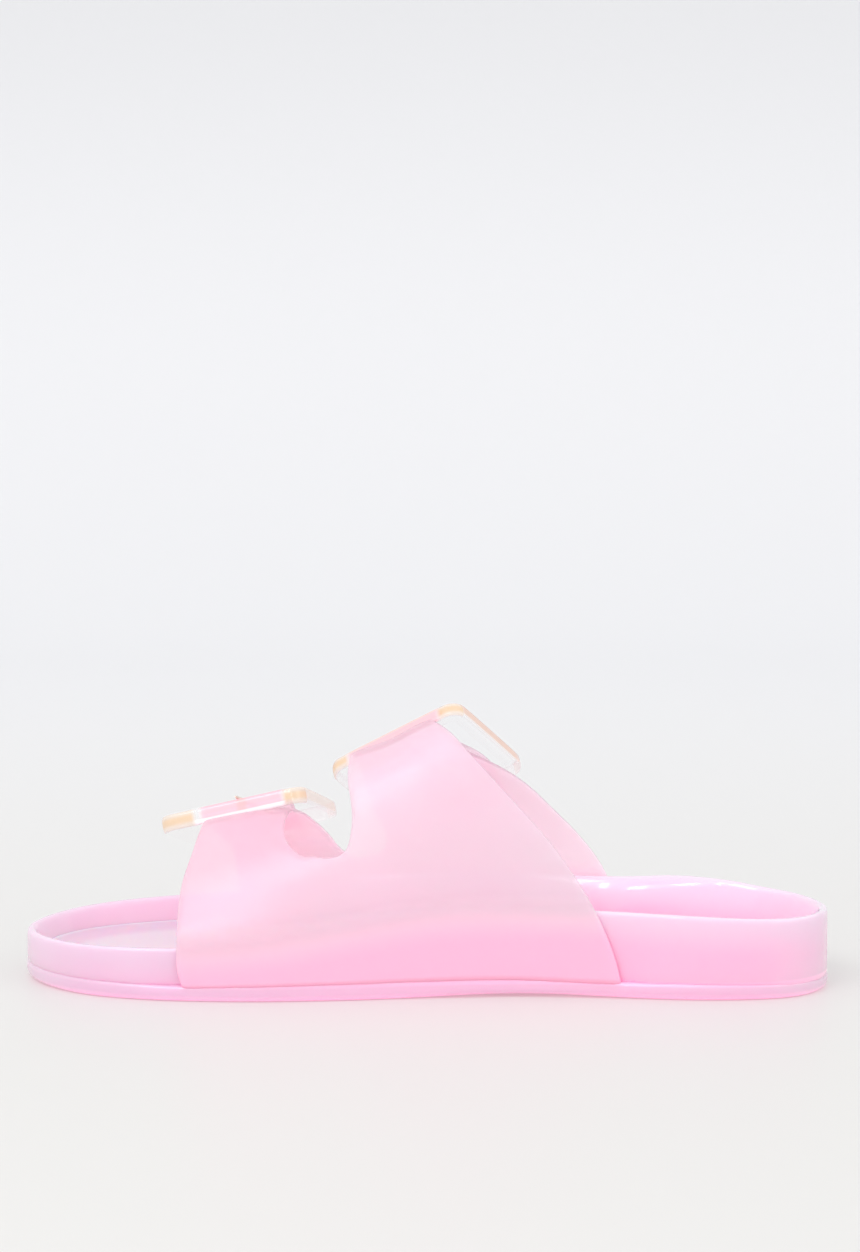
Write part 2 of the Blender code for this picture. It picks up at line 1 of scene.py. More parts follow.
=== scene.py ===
import bpy
import math
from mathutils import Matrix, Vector


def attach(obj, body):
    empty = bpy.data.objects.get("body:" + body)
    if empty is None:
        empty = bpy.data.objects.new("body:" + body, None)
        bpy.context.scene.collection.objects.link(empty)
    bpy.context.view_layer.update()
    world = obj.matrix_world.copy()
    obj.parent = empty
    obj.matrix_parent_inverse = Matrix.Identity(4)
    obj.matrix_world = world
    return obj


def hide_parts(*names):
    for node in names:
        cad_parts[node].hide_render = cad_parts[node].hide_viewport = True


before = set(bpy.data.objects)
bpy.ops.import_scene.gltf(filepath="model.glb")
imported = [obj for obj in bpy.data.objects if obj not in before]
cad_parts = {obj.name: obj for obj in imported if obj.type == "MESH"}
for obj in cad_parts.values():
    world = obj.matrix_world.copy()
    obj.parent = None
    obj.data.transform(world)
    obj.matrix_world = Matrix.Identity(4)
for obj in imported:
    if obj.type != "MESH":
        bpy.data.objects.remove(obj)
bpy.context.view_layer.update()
print("frame loaded:", len(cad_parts), "nodes")


# shader helpers: a wire is a socket that can be used in sums
class Wire:
    def __init__(self, finish, socket):
        self.finish = finish
        self.socket = socket

    def sum(self, operation, first, second):
        return self.finish.add("ShaderNodeMath", {"operation": operation}, {0: first, 1: second})

    def __add__(self, other):
        return self.sum("ADD", self, other)

    def __radd__(self, other):
        return self.sum("ADD", other, self)

    def __sub__(self, other):
        return self.sum("SUBTRACT", self, other)

    def __rsub__(self, other):
        return self.sum("SUBTRACT", other, self)

    def __mul__(self, other):
        return self.sum("MULTIPLY", self, other)

    def __rmul__(self, other):
        return self.sum("MULTIPLY", other, self)


class Finish:
    def __init__(self, name):
        self.material = bpy.data.materials.new(name)
        self.material.use_nodes = True
        self.tree = self.material.node_tree
        self.shader = self.tree.nodes["Principled BSDF"]

    def add(self, kind, settings, sockets, out=0):
        node = self.tree.nodes.new(kind)
        for key, value in settings.items():
            setattr(node, key, value)
        self.plug(node, sockets)
        return Wire(self, node.outputs[out])

    def plug(self, node, sockets):
        for key, value in sockets.items():
            if isinstance(value, Wire):
                self.tree.links.new(value.socket, node.inputs[key])
            else:
                node.inputs[key].default_value = value

    def skin(self, **sockets):
        self.plug(self.shader, {key.replace("_", " "): value for key, value in sockets.items()})

    def place(self):
        return self.add("ShaderNodeTexCoord", {}, {}, "Object")

    def axes(self):
        split = self.add("ShaderNodeSeparateXYZ", {}, {0: self.place()})
        return [Wire(self, out) for out in split.socket.node.outputs]

    def mark(self, name):
        return self.add("ShaderNodeAttribute", {"attribute_name": name}, {}, "Fac")

    def dot(self, first, second):
        return self.add("ShaderNodeVectorMath", {"operation": "DOT_PRODUCT"}, {0: first, 1: second}, "Value")

    def soft(self, value, start, end):
        return self.add("ShaderNodeMapRange", {"interpolation_type": "SMOOTHSTEP"},
                        {0: value, 1: start, 2: end})

    def size(self, value):
        return self.add("ShaderNodeMath", {"operation": "ABSOLUTE"}, {0: value})

    def root(self, value):
        return self.add("ShaderNodeMath", {"operation": "SQRT"}, {0: value})

    def top(self, first, second):
        return self.add("ShaderNodeMath", {"operation": "MAXIMUM"}, {0: first, 1: second})

    def blend(self, share, first, second):
        return self.add("ShaderNodeMix", {"data_type": "RGBA"}, {0: share, 6: first, 7: second}, 2)

    def cloud(self, scale):
        return self.add("ShaderNodeTexNoise", {}, {"Vector": self.place(), "Scale": scale})

    def bump(self, height, strength, distance):
        return self.add("ShaderNodeBump", {}, {"Height": height, "Strength": strength, "Distance": distance})


def colour(r, g, b):
    return (r, g, b, 1.0)


black = colour(0.0, 0.0, 0.0)
white = colour(1.0, 1.0, 1.0)
upward = (0.0, 0.0, 1.0)
jellyRadius = (1.0, 0.7, 0.85)  # red light runs furthest under the skin

# the footbed's rim along the foot: low at the toe, high under the arch, a little lower at the heel
rimLine = {"toeHeight": 0.0162, "archRise": 0.0112, "riseFrom": -0.078, "riseTo": 0.018,
           "heelDrop": 0.0022, "dropFrom": 0.050, "dropTo": 0.112}


def overRim(finish):
    x, _, z = finish.axes()
    rise = finish.soft(x, rimLine["riseFrom"], rimLine["riseTo"]) * rimLine["archRise"]
    drop = finish.soft(x, rimLine["dropFrom"], rimLine["dropTo"]) * rimLine["heelDrop"]
    return z - (rise - drop + rimLine["toeHeight"])


# milky jelly: a single wall lets light through; where the sole backs the wall, a deeper pink is painted in
# for the sole seen through it
strapJelly = {
    "pale": colour(0.82, 0.595, 0.685), "deep": colour(0.98, 0.485, 0.635),
    "fadeFrom": -0.0105, "fadeTo": 0.001,
    "haze": colour(0.79, 0.625, 0.68), "hazeShare": 0.35, "hazeScale": 22.0,
    "hazeFrom": 0.45, "hazeTo": 0.75,
    "thin": colour(0.77, 0.615, 0.68), "thinFrom": 0.010, "thinTo": 0.060,  # towards the heel
    "rearFrom": -0.045, "rearTo": -0.025,  # from the front strap to the rear one
    "topShade": colour(0.82, 0.50, 0.60), "topShadeFrom": 0.39, "topShadeTo": 0.68,  # painted shade: the front strap's upward-facing top is darkened
    "topShadeShare": 0.8,
    "paintedSheen": colour(0.93, 0.74, 0.93), "paintedSheenFrom": 0.46, "paintedSheenTo": 0.64,  # painted sheen on the rear strap's shoulder
    "paintedSheenFull": 0.74, "paintedSheenEnd": 0.86, "paintedSheenShare": 0.12,
    "notchLightTint": colour(0.99, 0.43, 0.60), "notchLightShare": 0.6,  # painted tint inside the front strap, for light that comes through its wall
    # painted glow: the wall below the rim and the faces towards the foot emit a little light, for light
    # coming through the wall
    "deepGlow": colour(0.16, 0.04, 0.08), "insideGlow": colour(0.31, 0.28, 0.295),
    "glowFrom": -0.007, "glowTo": 0.005,
    "singleWall": 0.55, "backedWall": 0.96, "wallFrom": -0.004, "wallTo": 0.006,
    "rough": 0.33, "patch": 0.08, "patchScale": 55.0, "gloss": 0.7, "glint": colour(0.95, 0.85, 1.0),
    "coat": 0.2, "coatRough": 0.36, "glow": 0.4, "depth": 0.004,
}


def makeStrapJelly():
    f = Finish("strapJelly")
    s = strapJelly
    height = overRim(f)
    x = f.axes()[0]
    rear = f.soft(x, s["rearFrom"], s["rearTo"])
    lift = f.dot(f.add("ShaderNodeNewGeometry", {}, {}, "Normal"), upward)
    inside = f.mark("inside")
    haze = f.soft(f.cloud(s["hazeScale"]), s["hazeFrom"], s["hazeTo"])
    # painted shade on the front strap's upward-facing top
    topShade = f.soft(lift, s["topShadeFrom"], s["topShadeTo"]) * (1.0 - rear)
    # painted sheen on the rear strap's shoulder, by how far its faces turn up
    paintedSheen = f.soft(lift, s["paintedSheenFrom"], s["paintedSheenTo"]) * f.soft(lift, s["paintedSheenEnd"], s["paintedSheenFull"]) * rear
    wall = f.blend(haze * s["hazeShare"], s["pale"], s["haze"])
    wall = f.blend(f.soft(x, s["thinFrom"], s["thinTo"]), wall, s["thin"])
    wall = f.blend(topShade * s["topShadeShare"], wall, s["topShade"])
    wall = f.blend(paintedSheen * s["paintedSheenShare"], wall, s["paintedSheen"])
    # painted tint on the front strap's inner faces, for light coming through the wall
    wall = f.blend(inside * (1.0 - rear) * s["notchLightShare"], wall, s["notchLightTint"])
    # painted glow on the faces towards the foot
    through = f.blend(inside, black, s["insideGlow"])
    free = f.soft(height, s["wallFrom"], s["wallTo"])
    # below the rim the base colour turns to the painted deeper pink of the sole seen through the wall
    f.skin(Base_Color=f.blend(f.soft(height, s["fadeFrom"], s["fadeTo"]), s["deep"], wall),
           Roughness=f.cloud(s["patchScale"]) * s["patch"] + (s["rough"] - s["patch"] / 2),
           Specular_IOR_Level=s["gloss"], Specular_Tint=s["glint"],
           Coat_Weight=s["coat"], Coat_Roughness=s["coatRough"],
           Subsurface_Weight=s["glow"], Subsurface_Scale=s["depth"], Subsurface_Radius=jellyRadius,
           Emission_Color=f.blend(f.soft(height, s["glowFrom"], s["glowTo"]), s["deepGlow"], through),
           Emission_Strength=1.0,
           Alpha=free * (s["singleWall"] - s["backedWall"]) + s["backedWall"])
    return f.material


# the sole is cooler at the toe, deeper low down and paler along the rim; inside the cup and at both tips it
# is lightened by painted light, and it carries painted glow near the floor, along the seam and in the heel
# cup
soleJelly = {
    "toeRim": colour(0.80, 0.57, 0.71), "heelRim": colour(0.86, 0.60, 0.74),
    "toeBody": colour(0.87, 0.52, 0.71), "heelBody": colour(0.96, 0.51, 0.71),
    "toeFrom": -0.085, "toeTo": 0.03, "fadeFrom": -0.013, "fadeTo": -0.002,
    # painted: the tips are paler, for light through their thin ends seen edge-on
    "tip": colour(0.84, 0.66, 0.77), "tipShare": 0.6, "tipFrom": 0.100, "tipTo": 0.130,
    # painted light: the inside of the heel cup and of the toe is lightened; the heel cup also gets a faint
    # painted glow
    "cup": colour(0.89, 0.67, 0.815), "cupLightShare": 0.8, "cupGlow": colour(0.01, 0.015, 0.015),
    "toeCupLight": colour(0.90, 0.68, 0.80), "toeCupLightShare": 0.3,
    "contactGlow": colour(0.34, 0.10, 0.19), "contactGlowFrom": 0.0024, "contactGlowTo": 0.0002,  # painted glow near the floor that lifts the contact shade
    # painted glow along the parting seam, lifting the dark crease between the layers
    "seam": colour(0.15, 0.05, 0.09), "seamAt": 0.0050, "seamFrom": 0.0012, "seamTo": 0.0003,
    "seamGlowLeast": 0.35, "seamGlowMore": 0.65,
    "rough": 0.20, "gloss": 0.6, "coat": 0.9, "outerCoat": 0.3, "coatRough": 0.05,
    "glow": 0.6, "depth": 0.006,
}


def makeSoleJelly():
    f = Finish("soleJelly")
    s = soleJelly
    x, _, z = f.axes()
    along = f.soft(x, s["toeFrom"], s["toeTo"])
    high = f.soft(overRim(f), s["fadeFrom"], s["fadeTo"])
    cup = f.mark("inside")
    heelCup = cup * along
    low = f.blend(along, s["toeBody"], s["heelBody"])
    wall = f.blend(high, low, f.blend(along, s["toeRim"], s["heelRim"]))
    # painted light inside the heel cup and the toe
    wall = f.blend(heelCup * high * s["cupLightShare"], wall, s["cup"])
    wall = f.blend(cup * (1.0 - along) * s["toeCupLightShare"], wall, s["toeCupLight"])
    # painted glow near the floor, along the seam and in the heel cup
    seam = f.soft(f.size(z - s["seamAt"]), s["seamFrom"], s["seamTo"])
    glow = f.blend(f.soft(z, s["contactGlowFrom"], s["contactGlowTo"]), black, s["contactGlow"])
    glow = f.blend(seam * (along * s["seamGlowMore"] + s["seamGlowLeast"]), glow, s["seam"])
    glow = f.blend(heelCup, glow, s["cupGlow"])
    # painted: paler tips
    tip = f.soft(f.size(x), s["tipFrom"], s["tipTo"]) * s["tipShare"]
    f.skin(Base_Color=f.blend(tip, wall, s["tip"]), Roughness=s["rough"], Specular_IOR_Level=s["gloss"],
           Coat_Weight=heelCup * (s["coat"] - s["outerCoat"]) + s["outerCoat"],
           Coat_Roughness=s["coatRough"],
           Subsurface_Weight=s["glow"], Subsurface_Scale=s["depth"], Subsurface_Radius=jellyRadius,
           Emission_Color=glow, Emission_Strength=1.0)
    return f.material


# satin sheet, deeper towards its outline, with a pale line along the outline and a fine grain
insoleSatin = {
    "face": colour(1.0, 0.70, 0.77), "edge": colour(0.96, 0.57, 0.70), "edgeFrom": 0.013, "edgeTo": 0.005,
    "line": colour(1.0, 0.77, 0.85), "lineFrom": 0.0016, "lineTo": 0.0004, "lineShare": 0.55,
    "rough": 0.32, "glow": 0.6, "depth": 0.005, "grainScale": 900.0, "grain": 0.15, "grainDepth": 0.0003,
}


def makeInsoleSatin():
    f = Finish("insoleSatin")
    s = insoleSatin
    inset = f.mark("inset")
    face = f.blend(f.soft(inset, s["edgeFrom"], s["edgeTo"]), s["face"], s["edge"])
    line = f.soft(inset, s["lineFrom"], s["lineTo"]) * s["lineShare"]
    f.skin(Base_Color=f.blend(line, face, s["line"]), Roughness=s["rough"],
           Subsurface_Weight=s["glow"], Subsurface_Scale=s["depth"],
           Normal=f.bump(f.cloud(s["grainScale"]), s["grain"], s["grainDepth"]))
    return f.material


# each buckle lies in its own plane: along the foot, across it to the outer side, and up from the strap
buckles = {
    "front": {
        "centre": (-0.0561, 0.0051, 0.0514), "along": (0.9556, -0.1693, 0.2412),
        "across": (0.2357, 0.9304, -0.2807), "up": (-0.1769, 0.3250, 0.9290),
        "seat": (-0.0002, -0.0008, -0.0013), "prongSeat": (0.0016, 0.0, -0.0013),
        "stretch": 1.027, "deepen": 1.4,
        "amberFrom": 0.0132, "amberTo": 0.0156, "slide": 0.0026, "trim": 0.0011, "trimSlide": 0.0010,
        "pink": colour(0.96, 0.56, 0.64), "highlightLine": 0.95, "seam": 0.5, "crest": 0.0, "prongTint": 0.45,
        "tan": colour(0.95, 0.78, 0.60), "tanBody": 0.35, "ghost": 0.9, "hollow": 0.9, "gloss": 0.8,
    },
    "rear": {
        "centre": (0.0009, 0.0068, 0.0683), "along": (0.8410, -0.2757, 0.4655),
        "across": (0.5189, 0.6547, -0.5496), "up": (-0.1532, 0.7038, 0.6937),
        "seat": (-0.0003, 0.0, -0.0027), "prongSeat": (0.0003, 0.0, -0.0034),
        "stretch": 1.045, "deepen": 1.25,
        "amberFrom": 0.0151, "amberTo": 0.0175, "slide": 0.0004, "trim": 0.0, "trimSlide": 0.0,
        "pink": colour(0.97, 0.59, 0.64), "highlightLine": 0.0, "seam": 0.0, "crest": 0.8, "prongTint": 0.0,
        "tan": colour(0.86, 0.60, 0.48), "tanBody": 0.72, "ghost": 0.0, "hollow": 0.9, "gloss": 0.4,
    },
}

# clear plastic: the faces all but vanish, the cut edges carry amber at the corners; the pink over the strap
# is painted, for the strap seen through the bar
clearBuckle = {
    "halfLength": 0.02375, "halfWidth": 0.0220, "halfDepth": 0.0020, "corner": 0.0055, "bar": 0.0046,
    "edgeFrom": -0.0013, "edgeTo": -0.0004, "sharp": 0.0006, "topFrom": -0.0018, "topTo": -0.0006,
    "clear": colour(0.98, 0.97, 0.96), "amber": colour(0.85, 0.55, 0.28),
    "coreFrom": 0.0016, "coreTo": 0.0003, "core": 0.4,  # the amber is strongest at mid height
    "lineFrom": -0.0006, "lineTo": -0.0010,  # painted highlight: a white line under the near bar
    "crestFrom": 0.0008, "crestTo": 0.0016, "peach": colour(0.97, 0.70, 0.60),
    "lilac": colour(0.86, 0.58, 0.72), "seamAt": -0.0002, "seamFrom": 0.0005, "seamTo": 0.0001,
    # painted: coral where the prong shows through the near bar
    "coral": colour(1.0, 0.45, 0.40), "prongAt": 0.0037, "prongFrom": 0.0024, "prongTo": 0.0006,
    "hollowFrom": -0.0014, "hollowTo": -0.0019, "paleFrom": 0.014, "paleTo": 0.020, "paleShare": 0.6,
    "clearBody": 0.02, "edgeBody": 0.16, "amberBody": 0.50, "pinkBody": 0.70, "rough": 0.06,
}


def makeClearBuckle(name, place):
    f = Finish(name)
    s = clearBuckle
    centre = Vector(place["centre"]) + Vector(place["seat"])
    spot = f.add("ShaderNodeVectorMath", {"operation": "SUBTRACT"}, {0: f.place(), 1: centre})
    u = f.dot(spot, place["along"]) * (1.0 / place["stretch"])
    v = f.dot(spot, place["across"])
    w = (f.dot(spot, place["up"]) - s["halfDepth"]) * (1.0 / place["deepen"]) + s["halfDepth"]

    # distance to the rounded outline, negative inside it
    straightEnd, straightSide = s["halfLength"] - s["corner"], s["halfWidth"] - s["corner"]
    endReach = f.top(f.size(u), straightEnd) - straightEnd
    sideReach = f.top(f.size(v), straightSide) - straightSide
    reach = f.root(endReach * endReach + sideReach * sideReach) - s["corner"]
    edge = f.soft(reach, s["edgeFrom"], s["edgeTo"])

    innerSide, innerEnd = s["bar"] - s["halfWidth"], s["halfLength"] - s["bar"]
    nearBar = f.soft(v, innerSide, innerSide - s["sharp"])
    frontBar = f.soft(u, -innerEnd, -innerEnd - s["sharp"])
    rearBar = f.soft(u, innerEnd, innerEnd + s["sharp"])
    end = f.soft(f.size(u - place["slide"]), place["amberFrom"], place["amberTo"])
    bare = f.soft(f.size(u - (place["slide"] + place["trimSlide"])),
                  place["amberFrom"] - place["trim"], place["amberTo"] - place["trim"])

    core = f.soft(f.size(w), s["coreFrom"], s["coreTo"]) * s["core"] + (1.0 - s["core"])
    amber = edge * nearBar * end * core
    fade = f.soft(v, s["paleFrom"], s["paleTo"]) * s["paleShare"]
    tan = edge * rearBar * (1.0 - nearBar) * f.soft(w, s["topFrom"], s["topTo"]) * (1.0 - fade)
    # painted highlight: a white line along the near bar's lower edge
    line = f.soft(w, s["lineFrom"], s["lineTo"]) * edge * nearBar * (1.0 - end) * place["highlightLine"]
    under = f.soft(w, s["hollowFrom"], s["hollowTo"]) * (1.0 - edge) * place["hollow"]
    # pink painted where the strap shows through the near bar
    pink = nearBar * (1.0 - bare) * (1.0 - under)

    seam = f.soft(f.size(w - s["seamAt"]), s["seamFrom"], s["seamTo"]) * place["seam"]
    crest = f.soft(w, s["crestFrom"], s["crestTo"]) * place["crest"]
    # coral painted where the prong shows through the bar
    prong = f.soft(f.size(u - s["prongAt"]), s["prongFrom"], s["prongTo"]) * place["prongTint"]
    rose = f.blend(crest, f.blend(seam, place["pink"], s["lilac"]), s["peach"])
    rose = f.blend(prong, rose, s["coral"])
    tint = f.blend(tan, f.blend(pink, f.blend(amber, s["clear"], s["amber"]), rose), place["tan"])
    shown = 1.0 - frontBar * (1.0 - nearBar) * place["ghost"]
    body = (edge * shown * s["edgeBody"] + s["clearBody"] + amber * s["amberBody"] + pink * s["pinkBody"]
            + tan * place["tanBody"] + line * (1.0 - pink))
    f.skin(Base_Color=f.blend(line, tint, white), Roughness=s["rough"],
           Specular_IOR_Level=place["gloss"], Alpha=body)
    return f.material


roseGold = {"metal": colour(0.95, 0.70, 0.58), "rough": 0.16}


def makeRoseGold():
    f = Finish("roseGold")
    f.skin(Base_Color=roseGold["metal"], Metallic=1.0, Roughness=roseGold["rough"])
    return f.material


strapLook = makeStrapJelly()
soleLook = makeSoleJelly()
insoleLook = makeInsoleSatin()
prongLook = makeRoseGold()
print("finishes ready")

merging = {"distance": 0.00001, "faceAngle": math.radians(50), "shapeAngle": math.radians(60)}
roundLevels = 2


def only(piece):
    bpy.ops.object.select_all(action="DESELECT")
    piece.select_set(True)
    bpy.context.view_layer.objects.active = piece


# a copy of a CAD solid with its triangles merged into quads, ready for edit mode
def solidCopy(node, name):
    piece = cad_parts[node].copy()
    piece.data = piece.data.copy()
    piece.name = name
    piece.parent = None
    for key in list(piece.keys()):
        del piece[key]
    bpy.context.scene.collection.objects.link(piece)
    only(piece)
    bpy.ops.object.mode_set(mode="EDIT")
    bpy.ops.mesh.select_all(action="SELECT")
    bpy.ops.mesh.remove_doubles(threshold=merging["distance"])
    bpy.ops.mesh.tris_convert_to_quads(face_threshold=merging["faceAngle"],
                                       shape_threshold=merging["shapeAngle"])
    bpy.ops.mesh.select_all(action="DESELECT")
    bpy.ops.object.mode_set(mode="OBJECT")
    piece.data.materials.clear()
    return piece


def pickFaces(piece, wanted):
    only(piece)
    bpy.ops.object.mode_set(mode="EDIT")
    bpy.ops.mesh.select_mode(type="FACE")
    bpy.ops.mesh.select_all(action="DESELECT")
    bpy.ops.object.mode_set(mode="OBJECT")
    for face in piece.data.polygons:
        face.select = wanted(face)
    bpy.ops.object.mode_set(mode="EDIT")


def rounded(piece):
    only(piece)
    rounder = piece.modifiers.new("rounder", "SUBSURF")
    rounder.levels = roundLevels
    rounder.render_levels = roundLevels
    bpy.ops.object.modifier_apply(modifier="rounder")
    bpy.ops.object.shade_smooth()


def finishPiece(piece, material, node):
    piece.data.materials.append(material)
    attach(piece, "root")
    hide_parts(node)
    print("piece ready:", piece.name, len(piece.data.polygons), "faces")


def ramp(value, start, end):
    t = min(max((value - start) / (end - start), 0.0), 1.0)
    return t * t * (3.0 - 2.0 * t)


# faces that look towards the foot are marked: light comes to them through the wall
footAxis = {"y": 0.0045, "z": 0.024}
cupAxis = {"y": -0.006, "z": 0.060}
insideTurn = (0.0, 0.3)


def markInside(piece, axis):
    inside = piece.data.attributes.new("inside", "FLOAT", "POINT")
    for i, vertex in enumerate(piece.data.vertices):
        inward = Vector((0.0, axis["y"] - vertex.co.y, axis["z"] - vertex.co.z)).normalized()
        inside.data[i].value = ramp(vertex.normal.dot(inward), *insideTurn)


# the layers are welded: each underside is let down onto the layer that carries it, with a crisp edge
weld = {"facing": -0.9,
        "footbed": {"drop": -0.00080, "below": 0.011},
        "upper": {"drop": -0.00090, "below": 0.008}}


def letDown(piece, layer):
    pickFaces(piece, lambda face: face.normal.z < weld["facing"] and face.center.z < layer["below"])
    bpy.ops.transform.translate(value=(0.0, 0.0, layer["drop"]))
    bpy.ops.transform.edge_crease(value=1.0)
    bpy.ops.mesh.select_all(action="DESELECT")
    bpy.ops.object.mode_set(mode="OBJECT")


# beyond the straps the footbed's wall runs out to the outsole's edge; its inner lip rolls over at the heel
wallShape = {"steep": 0.3, "endShare": 0.3, "flare": 0.6, "reach": 0.0023, "tip": 0.0003, "low": 0.0085,
             "front": (-0.118, -0.078), "rear": (0.062, 0.106),
             "clearFront": (-0.0800, -0.0860), "clearRear": (0.0630, 0.0690),
             "lipTurn": (0.25, 0.62), "lipHigh": 0.0150, "lipIn": 0.0011, "lipDown": 0.0020,
             "lipStart": (0.036, 0.056), "lipEnd": (0.076, 0.094)}


def ledge(x):
    s = wallShape
    t = min(ramp(x, *s["front"]), 1.0 - ramp(x, *s["rear"]))
    return s["tip"] + (s["reach"] - s["tip"]) * t


def shapeWall(piece):
    s = wallShape
    moves = []
    for vertex in piece.data.vertices:
        x, y, z = vertex.co
        level = Vector((vertex.normal.x, vertex.normal.y, 0.0))
        if level.length < s["steep"]:
            continue
        level.normalize()
        outward = level.y * (y - cupAxis["y"]) + level.x * x * s["endShare"]
        if outward > 0.0 and z < s["low"]:
            free = max(ramp(x, *s["clearFront"]), ramp(x, *s["clearRear"]))
            moves.append((vertex, level * ledge(x) * s["flare"] * free))
        onLip = s["lipTurn"][0] < vertex.normal.z < s["lipTurn"][1]
        if outward < 0.0 and z > s["lipHigh"] and onLip:
            roll = ramp(x, *s["lipStart"]) * (1.0 - ramp(x, *s["lipEnd"]))
            moves.append((vertex, (level * s["lipIn"] - Vector((0.0, 0.0, s["lipDown"]))) * roll))
    for vertex, move in moves:
        vertex.co += move
    print("wall shaped:", len(moves), "points")


outsole = solidCopy("outsole", "outsoleLayer")
rounded(outsole)
finishPiece(outsole, soleLook, "outsole")

footbed = solidCopy("footbed", "footbedBody")
letDown(footbed, weld["footbed"])
shapeWall(footbed)
rounded(footbed)
markInside(footbed, cupAxis)
finishPiece(footbed, soleLook, "footbed")

# the insole's outline is made of the points that look level
sideTurn = 0.3


# how far each point lies in from the outline
def markInset(piece):
    outline = [vertex.co.xy for vertex in piece.data.vertices if abs(vertex.normal.z) < sideTurn]
    inset = piece.data.attributes.new("inset", "FLOAT", "POINT")
    for i, vertex in enumerate(piece.data.vertices):
        inset.data[i].value = min((vertex.co.xy - spot).length for spot in outline)


insole = solidCopy("insole", "insoleSheet")
rounded(insole)
markInset(insole)
finishPiece(insole, insoleLook, "insole")

# the straps' edges run in even curves: each ease moves the points of a box that fades at its sides,
# and along each axis four numbers say where its share starts, is full, starts to fall and ends
eases = [
    # the gap's lower edge and its corner at the rear strap
    {"move": (0.0, 0.0, -0.0009), "x": (-0.044, -0.037, -0.037, -0.030),
     "y": (-0.062, -0.060, -0.022, -0.018), "z": (0.037, 0.044, 0.060, 0.062)},
    {"move": (0.0020, 0.0, -0.0007), "x": (-0.0310, -0.0265, -0.0245, -0.0225),
     "y": (-0.062, -0.060, -0.036, -0.034), "z": (0.0435, 0.0455, 0.0490, 0.0530)},
    # the front strap's top corner and its outer edge at the gap
    {"move": (0.0, 0.0, -0.0024), "x": (-0.051, -0.043, -0.030, -0.027),
     "y": (-0.030, -0.018, -0.008, 0.006), "z": (0.046, 0.050, 0.070, 0.072)},
    {"move": (0.0025, 0.0, 0.0), "x": (-0.047, -0.041, -0.026, -0.022),
     "y": (0.002, 0.008, 0.060, 0.062), "z": (0.026, 0.032, 0.070, 0.072)},
    # the rear strap's top corner and its outer rear edge
    {"move": (0.0, 0.0, -0.0013), "x": (-0.0270, -0.0240, -0.0120, -0.0020),
     "y": (-0.032, -0.024, 0.000, 0.006), "z": (0.066, 0.072, 0.100, 0.102)},
    {"move": (0.0006, 0.0, 0.0014), "x": (0.004, 0.012, 0.030, 0.045),
     "y": (0.000, 0.006, 0.060, 0.062), "z": (0.040, 0.046, 0.090, 0.092)},
]
# the rear edge of the front strap's free end is drawn forward, out of the gap; the hole for the prong stays
frontTail = {"move": (-0.0070, 0.0012, -0.0018), "squeezeFrom": -0.047, "squeezeTo": -0.034,
             "x": -0.030, "y": 0.004, "z": 0.026, "heightFrom": 0.0032, "heightTo": 0.0038,
             "rearFrom": -0.045, "rearGain": 0.08, "aside": -0.003, "reach": 0.016, "step": 0.00001}


def trapeze(value, spans):
    return ramp(value, spans[0], spans[1]) * (1.0 - ramp(value, spans[2], spans[3]))


# how high a point stands over the strap's inner face, measured towards the foot
def overStrap(piece, spot):
    s = frontTail
    start = spot + Vector((s["aside"], 0.0, 0.0))
    aim = Vector((0.0, footAxis["y"] - spot.y, footAxis["z"] - spot.z)).normalized()
    height, gone = 0.0, s["step"]
    while True:
        hit, place, normal, _ = piece.ray_cast(start + aim * gone, aim)
        gone = (place - start).length + s["step"] if hit else s["reach"]
        if gone >= s["reach"]:
            return height
        if normal.dot(aim) > 0.0:
            height = gone


# how far a point belongs to the front strap's free end, from none to one
def tailShare(piece, spot):
    s = frontTail
    if spot.x >= s["x"] or spot.y <= s["y"] or spot.z <= s["z"]:
        return 0.0
    height = overStrap(piece, spot) + max(spot.x - s["rearFrom"], 0.0) * s["rearGain"]
    return ramp(height, s["heightFrom"], s["heightTo"])


def easeStraps(piece):
    moves = []
    for vertex in piece.data.vertices:
        spot = vertex.co.copy()
        tail = tailShare(piece, spot)
        squeeze = ramp(spot.x, frontTail["squeezeFrom"], frontTail["squeezeTo"])
        move = Vector(frontTail["move"]) * tail * squeeze
        for ease in eases:
            share = trapeze(spot.x, ease["x"]) * trapeze(spot.y, ease["y"]) * trapeze(spot.z, ease["z"])
            move += Vector(ease["move"]) * share * (1.0 - tail)
        moves.append(move)
    for vertex, move in zip(piece.data.vertices, moves):
        vertex.co += move
    print("straps eased:", sum(move.length > 0.0 for move in moves), "points")


straps = solidCopy("upper", "strapUpper")
easeStraps(straps)
letDown(straps, weld["upper"])
rounded(straps)
markInside(straps, footAxis)
finishPiece(straps, strapLook, "upper")


# the buckles sit snug on the straps, as in the photograph
def seatBuckle(piece, place):
    centre, seat = Vector(place["centre"]), Vector(place["seat"])
    along, across, up = [Vector(place[axis]) for axis in ("along", "across", "up")]
    top = clearBuckle["halfDepth"]
    for vertex in piece.data.vertices:
        spot = vertex.co - centre
        height = (spot.dot(up) - top) * place["deepen"] + top
        spot = along * spot.dot(along) * place["stretch"] + across * spot.dot(across) + up * height
        vertex.co = centre + seat + spot


def seatProng(piece, place):
    for vertex in piece.data.vertices:
        vertex.co += Vector(place["prongSeat"])


for end, place in buckles.items():
    buckle = solidCopy("buckle_" + end, end + "Buckle")
    seatBuckle(buckle, place)
    rounded(buckle)
    finishPiece(buckle, makeClearBuckle(end + "ClearBuckle", place), "buckle_" + end)
    prong = solidCopy("prong_" + end, end + "Prong")
    seatProng(prong, place)
    rounded(prong)
    finishPiece(prong, prongLook, "prong_" + end)

